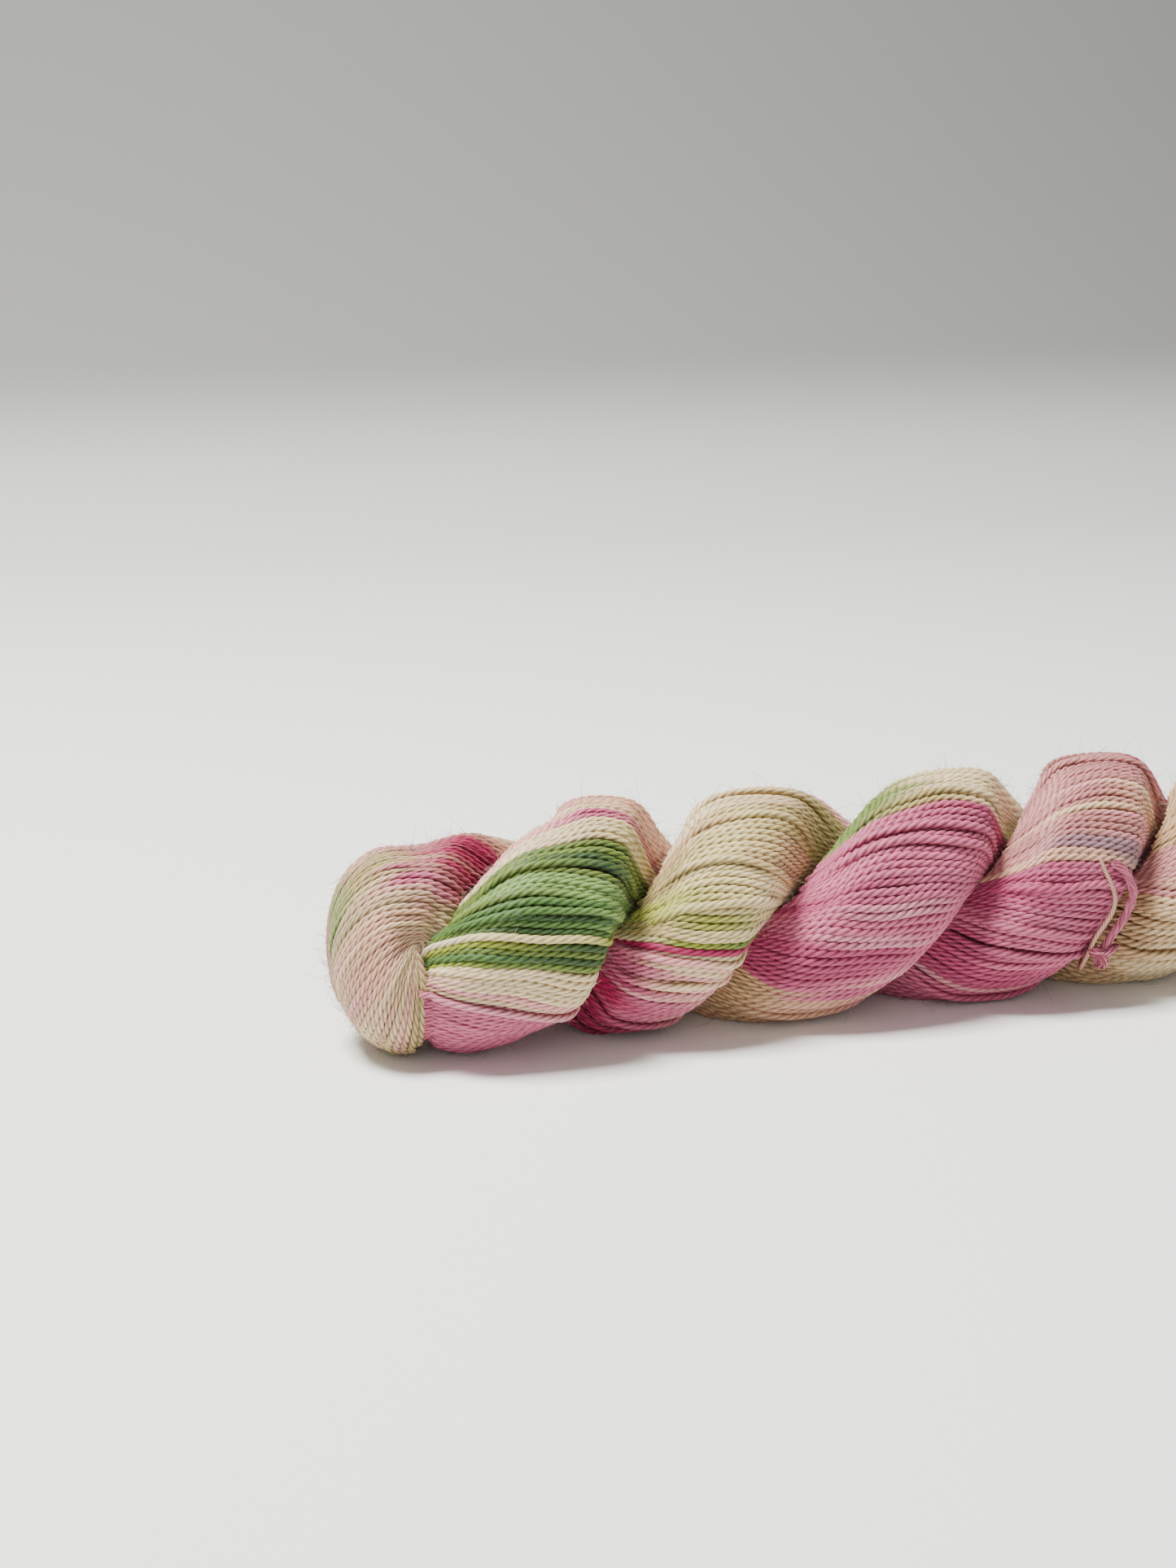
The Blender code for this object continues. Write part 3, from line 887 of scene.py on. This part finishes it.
def keep(mesh, name, kind, field, values):
    """Keeps values for a mesh's points, for its material to read."""
    layer = mesh.attributes.new(name, kind, "POINT")
    layer.data.foreach_set(field, np.ravel(values).astype(np.float32))


def lay(name, lines, section, twist_pitch, material):
    """Sweeps (points, radii, dye, outward) lines into one mesh piece. It keeps the dye, the
    fibres' direction, and how high each point stands in its ply and on the hank."""
    section_object = put("section", section)
    sides = len(section.splines[0].points)
    curve = bpy.data.curves.new(name, "CURVE")
    curve.dimensions = "3D"
    dye, along_all, centres, outs, sizes = [], [], [], [], []
    for points, radii, colours, outward in lines:
        spline = curve.splines.new("POLY")
        spline.points.add(len(points) - 1)
        placed = (points - (HANK_MIDDLE, 0, 0)) * MM
        run = np.concatenate(([0.0], np.cumsum(np.linalg.norm(np.diff(points, axis=0), axis=1))))
        spline.points.foreach_set("co", np.insert(placed, 3, 1.0, axis=1).ravel())
        spline.points.foreach_set("radius", radii * MM)
        turned = draw.uniform(0, 2 * math.pi) - 2 * math.pi * run / twist_pitch
        spline.points.foreach_set("tilt", turned)
        centres.append(placed)
        outs.append(outward)
        sizes.append(radii * MM)
        dye.append(np.repeat(colours, sides, axis=0))
        along_all.append(np.repeat(run + draw.uniform(0, 500), sides))
    swept = put(name, curve)
    modifier = swept.modifiers.new("wind", "NODES")
    modifier.node_group = sweep_tree(section_object)
    shown = swept.evaluated_get(bpy.context.evaluated_depsgraph_get())
    mesh = bpy.data.meshes.new_from_object(shown)
    bpy.data.objects.remove(swept)
    bpy.data.objects.remove(section_object)
    dye = np.clip(np.concatenate(dye), 0, 1)
    along_all = np.concatenate(along_all)
    keep(mesh, "dye", "FLOAT_COLOR", "color", np.insert(dye, 3, 1.0, axis=1))
    turn = np.tile(2 * np.pi * np.arange(sides) / sides, len(dye) // sides)
    fibre = np.stack((np.cos(turn), np.sin(turn), along_all), axis=1)
    keep(mesh, "fibre", "FLOAT_VECTOR", "vector", fibre)
    # ply_height and out_of_groove mark the ply valleys and a yarn's sides down in the groove, where
    # the material paints shade.
    ply_height = np.tile(np.where(np.arange(sides) % 3 == 0, 0.0, 1.0), len(dye) // sides)
    keep(mesh, "ply_height", "FLOAT", "value", ply_height)
    corners = np.zeros(len(mesh.vertices) * 3, np.float32)
    mesh.vertices.foreach_get("co", corners)
    off = corners.reshape(-1, sides, 3) - np.concatenate(centres)[:, None]
    stands = np.einsum("rsk,rk->rs", off, np.concatenate(outs))
    stands = stands / np.concatenate(sizes)[:, None]
    keep(mesh, "out_of_groove", "FLOAT", "value", smooth((stands + 0.15) / 0.95))
    mesh.materials.clear()
    mesh.materials.append(material)
    mesh.shade_smooth()
    piece = put(name, mesh)
    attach(piece, "root")
    return piece


RINGS_A_PIECE = 7600


def lay_yarns(name, yarns, material):
    """Lays yarns as a few pieces, none of them too heavy."""
    rings = sum(len(yarn.points) for yarn in yarns)
    pieces = math.ceil(rings / RINGS_A_PIECE)
    laid = 0
    lines = [[] for _ in range(pieces)]
    for yarn in yarns:
        line = (yarn.points, yarn.radii, yarn.dye, yarn.outward)
        lines[min(laid * pieces // rings, pieces - 1)].append(line)
        laid += len(yarn.points)
    for number, part in enumerate(lines, 1):
        piece = lay(f"{name}_{number}", part, ply_section(), PLY_PITCH, material)
        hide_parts("hank")


# The yarn under the outer layer

INNER_DEPTH = 2.4
# Beside a groove the outer yarns lie deeper, so the form is drawn in by a further share.
GROOVE_PINCH = 0.36
GROOVE_SPREAD = 66.0
INNER_SHADE = 0.38


def make_inner_yarn(material):
    """The hank's own form drawn in by a yarn, so nothing shows between the outer yarns."""
    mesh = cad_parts["hank"].data.copy()
    shape = bmesh.new()
    shape.from_mesh(mesh)
    bmesh.ops.remove_doubles(shape, verts=shape.verts, dist=1e-6)
    shape.to_mesh(mesh)
    shape.free()
    places = np.zeros(len(mesh.vertices) * 3)
    mesh.vertices.foreach_get("co", places)
    places = places.reshape(-1, 3) / MM + (HANK_MIDDLE, 0, 0)
    x = places[:, 0]
    height = between(AXIS_HEIGHT, x)
    degrees = degrees_round(places)
    from_groove = (degrees - groove_degrees(x)) % 180
    from_groove = np.minimum(from_groove, 180 - from_groove)
    reach = np.maximum(np.hypot(places[:, 1], places[:, 2] - height), 2 * INNER_DEPTH)
    pinch = GROOVE_PINCH * smooth(1 - from_groove / GROOVE_SPREAD) * smooth((222 - x) / 8)
    drawn = (1 - INNER_DEPTH / reach) * (1 - pinch)
    places[:, 1] *= drawn
    places[:, 2] = height + (places[:, 2] - height) * drawn
    places = (places - (HANK_MIDDLE, 0, 0)) * MM
    places[:, 0] *= 1 - INNER_DEPTH / (HANK_END - HANK_MIDDLE)
    mesh.vertices.foreach_set("co", places.ravel())
    colours = np.array([inner_dye(a, b) for a, b in zip(x, degrees)]) * INNER_SHADE
    keep(mesh, "dye", "FLOAT_COLOR", "color", np.insert(colours, 3, 1.0, axis=1))
    mesh.materials.clear()
    mesh.materials.append(material)
    mesh.shade_smooth()
    piece = put("inner_yarn", mesh)
    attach(piece, "root")
    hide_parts("hank")


def inner_dye(x, degrees):
    """The dye of the strand turn that lies over a place."""
    if x < 2 or x > 221:
        return DYE_COLOURS["cream"]
    groove = float(np.interp(x, GROOVE_X, GROOVE_ANGLES))
    best = None
    for strand, toward in ((FIRST, 90), (SECOND, -90)):
        for turn in range(-1, 4):
            across = degrees + 360 * turn - toward - groove
            for wrapped in (across, across + 360):
                if best is None or abs(wrapped) < abs(best[0]):
                    place = degrees + (360 if wrapped != across else 0)
                    best = (wrapped, strand, turn, place if place < 250 else place - 360)
    rows = BANDS.get((best[1], best[2]), PLAIN_BANDS)
    row = next((row for row in rows if best[3] >= row[0]), rows[-1])
    return DYE_COLOURS[row[2]]


# Loose hair

HAIRS = 8200
HAIR_POINTS = 3
HAIR_LONGEST = 9.0
# Real hairs are 0.03 mm thick. These are drawn thicker, so that they show.
HAIR_RADII = (0.055, 0.02)


def make_hair(yarns, material):
    """The halo: fine hairs that stand off the yarns."""
    lines = []
    weights = [len(yarn.points) for yarn in yarns]
    chosen = draw.choices(yarns, weights=weights, k=HAIRS)
    for yarn in chosen:
        i = draw.randrange(1, len(yarn.points) - 1)
        start = yarn.points[i]
        tangent = yarn.points[i + 1] - yarn.points[i - 1]
        tangent /= np.linalg.norm(tangent)
        outward = yarn.outward[i]
        sideways = np.cross(tangent, outward)
        lean = draw.choice((-1, 1)) * draw.uniform(0.3, 1.6)
        way = outward * draw.uniform(0.35, 1.0) + tangent * lean + sideways * draw.gauss(0, 0.7)
        way /= np.linalg.norm(way)
        bend = np.array([draw.gauss(0, 1) for _ in range(3)])
        length = min(draw.lognormvariate(0.8, 0.5), HAIR_LONGEST)
        points = [start + outward * yarn.radii[i] * 0.7]
        for _ in range(HAIR_POINTS - 1):
            way = way + bend * draw.uniform(0.05, 0.28)
            way /= np.linalg.norm(way)
            points.append(points[-1] + way * length / (HAIR_POINTS - 1))
        points = np.array(points)
        points[:, 2] = np.maximum(points[:, 2], 0.1)
        radii = np.linspace(*HAIR_RADII, HAIR_POINTS)
        dye = alike(yarn.dye[i] * 0.8 + 0.2, HAIR_POINTS)
        lines.append((points, radii, dye, alike(outward, HAIR_POINTS)))
    piece = lay("loose_hair", lines, round_section(3), UNTWISTED, material)
    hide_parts("hank")


# The tie

WISP_STEP = 0.4
TIE_FIBRES = 34
TIE_ASTRAY = 26
KNOT_LOOPS = 46
KNOT_ENDS = 30
UNTWISTED = 1e6


def smooth_route(route, steps):
    """Places along a smooth line through a route's rows."""
    places = []
    for i in range(len(route) - 1):
        before, start = np.array(route[max(i - 1, 0)]), np.array(route[i])
        end, after = np.array(route[i + 1]), np.array(route[min(i + 2, len(route) - 1)])
        for t in np.linspace(0, 1, steps, endpoint=False):
            places.append(
                start + (end - before) * t / 2
                + (2 * before - 5 * start + 4 * end - after) * t * t / 2
                + (3 * start - before - 3 * end + after) * t**3 / 2
            )
    places.append(np.array(route[-1]))
    return np.array(places)


def route_points(route, diameter, steps=6):
    """A route's points, just clear of the hank, in millimetres from the turn."""
    x, degrees, lift = smooth_route(route, steps).T
    return on_strands(x, degrees, diameter / 2 + TOUCH_GAP + lift)


def make_thread(material):
    """The thin plied thread whose loose end shows."""
    points = route_points(THREAD_ROUTE, THREAD_DIAMETER)
    radii = np.full(len(points), THREAD_DIAMETER / 2)
    dye = alike(THREAD_COLOUR, len(points))
    out = alike((0.0, -1.0, 0.2), len(points))
    lines = [(points, radii, dye, out)]
    piece = lay("tie_thread", lines, ply_section(), THREAD_PITCH, material)
    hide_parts("tie_end")


def wisp(middle, spread, radius, colour, up):
    """One fine fibre of the tie: it follows a line at its own wandering distance."""
    run = np.arange(len(middle)) * WISP_STEP
    offs = []
    for _ in range(3):
        size, start = draw.gauss(0, spread), draw.uniform(0, 7)
        offs.append(size * np.sin(run * draw.uniform(0.5, 1.5) + start) + draw.gauss(0, spread) / 2)
    points = middle + np.stack(offs, axis=1)
    dye = alike(colour * draw.uniform(0.8, 1.15), len(points))
    taper = np.interp(run, (0, 1, run[-1] - 1, run[-1]), (0.5, 1, 1, 0.4))
    return points, radius * taper, dye, up


def make_tie(material):
    """The soft strand: a loose bundle of fine fibres, barely twisted, with some astray."""
    middle = evenly(route_points(TIE_ROUTE + TIE_TO_KNOT, TIE_DIAMETER, 8), WISP_STEP)[0]
    run = np.arange(len(middle)) * WISP_STEP
    tangent = unit(np.gradient(middle, axis=0))
    aside = unit(np.cross(tangent, np.array((0.0, -1.0, 0.3))))
    up = np.cross(aside, tangent)
    lines = []
    for i in range(TIE_FIBRES):
        far = 0.85 * math.sqrt((i + 0.5) / TIE_FIBRES)
        turn = i * 2.4 + run * 0.55
        wide = 1 + 0.3 * np.sin(run * 0.7 + i)
        points = middle + aside * (far * wide * np.cos(turn))[:, None]
        points = points + up * (far * 0.8 * np.sin(turn))[:, None]
        lines.append(wisp(points, 0.06, 0.15, TIE_COLOUR, up))
    for _ in range(TIE_ASTRAY):
        first = draw.randrange(0, len(middle) - 14)
        part = slice(first, first + draw.randrange(9, 14))
        lines.append(wisp(middle[part], 0.62, 0.05, TIE_COLOUR * 1.05, up[part]))
    piece = lay("tie_strand", lines, round_section(5), UNTWISTED, material)
    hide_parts("tie")


def make_knot(material):
    """The knot: the strand drawn round itself, with short frayed ends."""
    x, degrees = KNOT_AT
    depth = KNOT_SIZE[1]
    centre = on_strands(np.array([x]), np.array([degrees]), depth / 2 + TOUCH_GAP + KNOT_LIFT)[0]
    lines = []
    front = (0.0, -1.0, 0.0)
    for _ in range(KNOT_LOOPS):
        turn = np.linspace(0, 2 * math.pi * 1.15, 34) + draw.uniform(-0.8, 0.8)
        size = np.array(KNOT_SIZE) / 2 * draw.uniform(0.6, 1.05)
        points = np.stack((
            size[0] * (np.sin(turn) + 0.6 * np.sin(2 * turn)) * 0.68,
            size[1] * np.sin(3 * turn) * 0.62,
            size[2] * (np.cos(turn) - 0.6 * np.cos(2 * turn)) * 0.68,
        ), axis=1)
        shift = np.array([draw.gauss(0, 0.4) for _ in range(3)])
        out = alike(front, len(points))
        lines.append(wisp(points + shift + centre, 0.08, 0.19, TIE_COLOUR, out))
    for _ in range(KNOT_ENDS):
        way = np.array((draw.uniform(-1.0, -0.2), draw.uniform(-0.5, 0.1), draw.uniform(-0.9, 0.1)))
        reach = np.linspace(0.0, draw.uniform(2.4, 3.6), 9)[:, None]
        out = alike(front, 9)
        lines.append(wisp(centre + way * reach, 0.14, 0.09, TIE_COLOUR * 1.05, out))
    piece = lay("tie_knot_strands", lines, round_section(5), UNTWISTED, material)
    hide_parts("tie_knot")


# Materials

def add_node(tree, kind, settings=None, **links):
    """Adds a node, with its settings, values and links by input name. Where inputs share a
    name, _0 is the first of them all."""
    node = tree.nodes.new(kind)
    for name, value in (settings or {}).items():
        setattr(node, name, value)
    for name, value in links.items():
        socket = node.inputs[int(name[1:])] if name[1:].isdigit() else node.inputs[name]
        if isinstance(value, bpy.types.NodeSocket):
            tree.links.new(value, socket)
        else:
            socket.default_value = value
    return node


def new_material(name):
    """A material, its nodes and its shader."""
    material = bpy.data.materials.new(name)
    material.use_nodes = True
    return material, material.node_tree, material.node_tree.nodes["Principled BSDF"]


def spun_fibre_material(name, roughness, sheen, bump_depth):
    """Combed and spun animal fibre, piece-dyed by hand: a soft sheen, streaks of fibre that run
    along each ply and lie lighter and darker side by side, and painted shade in the ply valleys and
    in the grooves between yarns."""
    material, tree, shader = new_material(name)
    fibre = add_node(tree, "ShaderNodeAttribute", {"attribute_name": "fibre"})
    dye = add_node(tree, "ShaderNodeAttribute", {"attribute_name": "dye"})
    height = add_node(tree, "ShaderNodeAttribute", {"attribute_name": "ply_height"})
    groove = add_node(tree, "ShaderNodeAttribute", {"attribute_name": "out_of_groove"})
    # Fibres are 0.03 mm thick. The streaks are drawn about 0.15 mm wide, so that they show.
    stretch = add_node(tree, "ShaderNodeVectorMath", {"operation": "MULTIPLY"},
                       _0=fibre.outputs["Vector"], _1=(6.5, 6.5, 0.45))
    streak = add_node(tree, "ShaderNodeTexNoise", Vector=stretch.outputs[0], Scale=1.0,
                      Detail=3.0, Roughness=0.6)
    wide = add_node(tree, "ShaderNodeVectorMath", {"operation": "MULTIPLY"},
                    _0=fibre.outputs["Vector"], _1=(1.2, 1.2, 0.35))
    blotch = add_node(tree, "ShaderNodeTexNoise", Vector=wide.outputs[0], Scale=1.0, Detail=2.0)
    light, patch = (
        add_node(tree, "ShaderNodeMapRange", Value=noise.outputs["Fac"],
                 **{"From Min": 0.3, "From Max": 0.7, "To Min": darkest, "To Max": lightest})
        for noise, darkest, lightest in ((streak, 0.82, 1.14), (blotch, 0.92, 1.06))
    )
    # Painted shade: the colour is deeper and darker in each ply's valley and on a yarn's sides down
    # in the groove beside its neighbours. That is where shade falls and light comes back off dyed
    # fibre.
    valley = add_node(tree, "ShaderNodeMapRange", Value=height.outputs["Fac"],
                      **{"To Min": 0.15})
    open_to_light = add_node(tree, "ShaderNodeMath", {"operation": "MULTIPLY"},
                             _0=valley.outputs[0], _1=groove.outputs["Fac"])
    deep = add_node(tree, "ShaderNodeVectorMath", {"operation": "MULTIPLY"},
                    _0=dye.outputs["Color"], _1=dye.outputs["Color"])
    painted_shade_colour = add_node(tree, "ShaderNodeVectorMath", {"operation": "SCALE"},
                      _0=deep.outputs[0], Scale=0.52)
    # Here the painted shade is mixed in, where open_to_light is low.
    depth = add_node(tree, "ShaderNodeMix", {"data_type": "RGBA"},
                     Factor=open_to_light.outputs[0], _6=painted_shade_colour.outputs[0],
                     _7=dye.outputs["Color"])
    both = add_node(tree, "ShaderNodeMath", {"operation": "MULTIPLY"},
                    _0=light.outputs[0], _1=patch.outputs[0])
    colour = add_node(tree, "ShaderNodeVectorMath", {"operation": "SCALE"},
                      _0=depth.outputs[2], Scale=both.outputs[0])
    tree.links.new(colour.outputs[0], shader.inputs["Base Color"])
    bump = add_node(tree, "ShaderNodeBump", Strength=0.6, Distance=bump_depth,
                    Height=streak.outputs["Fac"])
    tree.links.new(bump.outputs[0], shader.inputs["Normal"])
    shader.inputs["Roughness"].default_value = roughness
    shader.inputs["Sheen Tint"].default_value = (*linear("#D9B7A6"), 1.0)
    shader.inputs["Sheen Weight"].default_value = sheen
    shader.inputs["Sheen Roughness"].default_value = 0.45
    shader.inputs["Specular IOR Level"].default_value = 0.38
    shader.inputs["IOR"].default_value = 1.54
    return material


def under_yarn_material():
    """The same dyed yarn, in the shade of the layer above it."""
    material, tree, shader = new_material("shaded_under_yarn")
    dye = add_node(tree, "ShaderNodeAttribute", {"attribute_name": "dye"})
    place = add_node(tree, "ShaderNodeTexCoord")
    grain = add_node(tree, "ShaderNodeTexNoise", Vector=place.outputs["Object"], Scale=700.0)
    light = add_node(tree, "ShaderNodeMapRange", Value=grain.outputs["Fac"],
                     **{"To Min": 0.7, "To Max": 1.2})
    colour = add_node(tree, "ShaderNodeVectorMath", {"operation": "SCALE"},
                      _0=dye.outputs["Color"], Scale=light.outputs[0])
    tree.links.new(colour.outputs[0], shader.inputs["Base Color"])
    shader.inputs["Roughness"].default_value = 0.9
    return material


# Floor, backdrop and light

SWEEP_FROM = 0.75
SWEEP_RADIUS = 0.9
SWEEP_TOP = (2.0, 5.0)
SWEEP_STEPS = 12
GREY_FROM_HEIGHT = 0.08
DAYLIGHT = (1.0, 0.985, 0.96)


def make_floor():
    """A pale sweep: a flat surface that curves up far behind the hank."""
    shape = bmesh.new()
    edge = [shape.verts.new((-6.0, -4.0, 0.0)), shape.verts.new((6.0, -4.0, 0.0))]
    row = [shape.edges.new(edge)]
    places = [(SWEEP_FROM, 0.0)]
    for i in range(1, SWEEP_STEPS + 1):
        turn = math.radians(90 * i / SWEEP_STEPS)
        back, up = SWEEP_RADIUS * math.sin(turn), SWEEP_RADIUS * (1 - math.cos(turn))
        places.append((SWEEP_FROM + back, up))
    for y, z in (*places, SWEEP_TOP):
        grown = bmesh.ops.extrude_edge_only(shape, edges=row)["geom"]
        row = [item for item in grown if isinstance(item, bmesh.types.BMEdge)]
        for vertex in row[0].verts:
            vertex.co.y, vertex.co.z = y, z
    bmesh.ops.recalc_face_normals(shape, faces=shape.faces)
    mesh = bpy.data.meshes.new("sweep")
    shape.to_mesh(mesh)
    shape.free()
    mesh.shade_smooth()
    material, tree, shader = new_material("matt_pale_board")
    place = add_node(tree, "ShaderNodeTexCoord")
    split = add_node(tree, "ShaderNodeSeparateXYZ", Vector=place.outputs["Object"])
    rise = add_node(tree, "ShaderNodeMapRange", {"interpolation_type": "SMOOTHSTEP"},
                    Value=split.outputs["Z"], **{"From Min": 0.0, "From Max": GREY_FROM_HEIGHT})
    mix = add_node(tree, "ShaderNodeMix", {"data_type": "RGBA"}, Factor=rise.outputs[0],
                   _6=(*linear("#F3F4F0"), 1.0), _7=(*linear("#B0B0AB"), 1.0))
    tree.links.new(mix.outputs[2], shader.inputs["Base Color"])
    shader.inputs["Roughness"].default_value = 0.8
    shader.inputs["Specular IOR Level"].default_value = 0.2
    mesh.materials.append(material)
    sweep = put("sweep", mesh)


def make_light(name, place, aim, size, power):
    """A soft square light that faces a point."""
    light = bpy.data.lights.new(name, "AREA")
    light.shape = "SQUARE"
    light.size = size
    light.energy = power
    light.color = DAYLIGHT
    lamp = put(name, light)
    lamp.location = place
    lamp.rotation_euler = (Vector(aim) - Vector(place)).to_track_quat("-Z", "Y").to_euler()


def make_lights():
    """A window above and behind the left end, a weak light in front, and a soft room."""
    make_light("window", (-0.45, 0.05, 1.2), (0.0, 0.0, 0.0), 0.42, 46.0)
    make_light("fill", (-0.5, -1.3, 0.6), (0.0, 0.0, 0.02), 0.9, 3.5)
    world = bpy.data.worlds.new("soft_room")
    world.use_nodes = True
    background = world.node_tree.nodes["Background"]
    background.inputs["Color"].default_value = (0.93, 0.95, 0.97, 1.0)
    background.inputs["Strength"].default_value = 0.36
    bpy.context.scene.world = world


def main():
    """Makes every piece, then the floor and the lights."""
    make_camera()
    yarn_fibre = spun_fibre_material("hand_dyed_mohair", 0.58, 0.16, 0.00012)
    tie_fibre = spun_fibre_material("loose_roving", 0.7, 0.3, 0.00005)
    thread_fibre = spun_fibre_material("plied_thread", 0.6, 0.16, 0.00006)
    make_thread(thread_fibre)
    make_tie(tie_fibre)
    make_knot(tie_fibre)
    first = strand_yarns(FIRST)
    second = strand_yarns(SECOND)
    turned = turn_yarns()
    tucked = collar_yarns() + nub_yarns()
    lay_yarns("first_strand", first, yarn_fibre)
    lay_yarns("second_strand", second, yarn_fibre)
    lay_yarns("turn_yarns", turned, yarn_fibre)
    lay_yarns("tucked_loop", tucked, yarn_fibre)
    make_inner_yarn(under_yarn_material())
    make_hair(first + second + turned + tucked, yarn_fibre)
    make_floor()
    make_lights()


main()
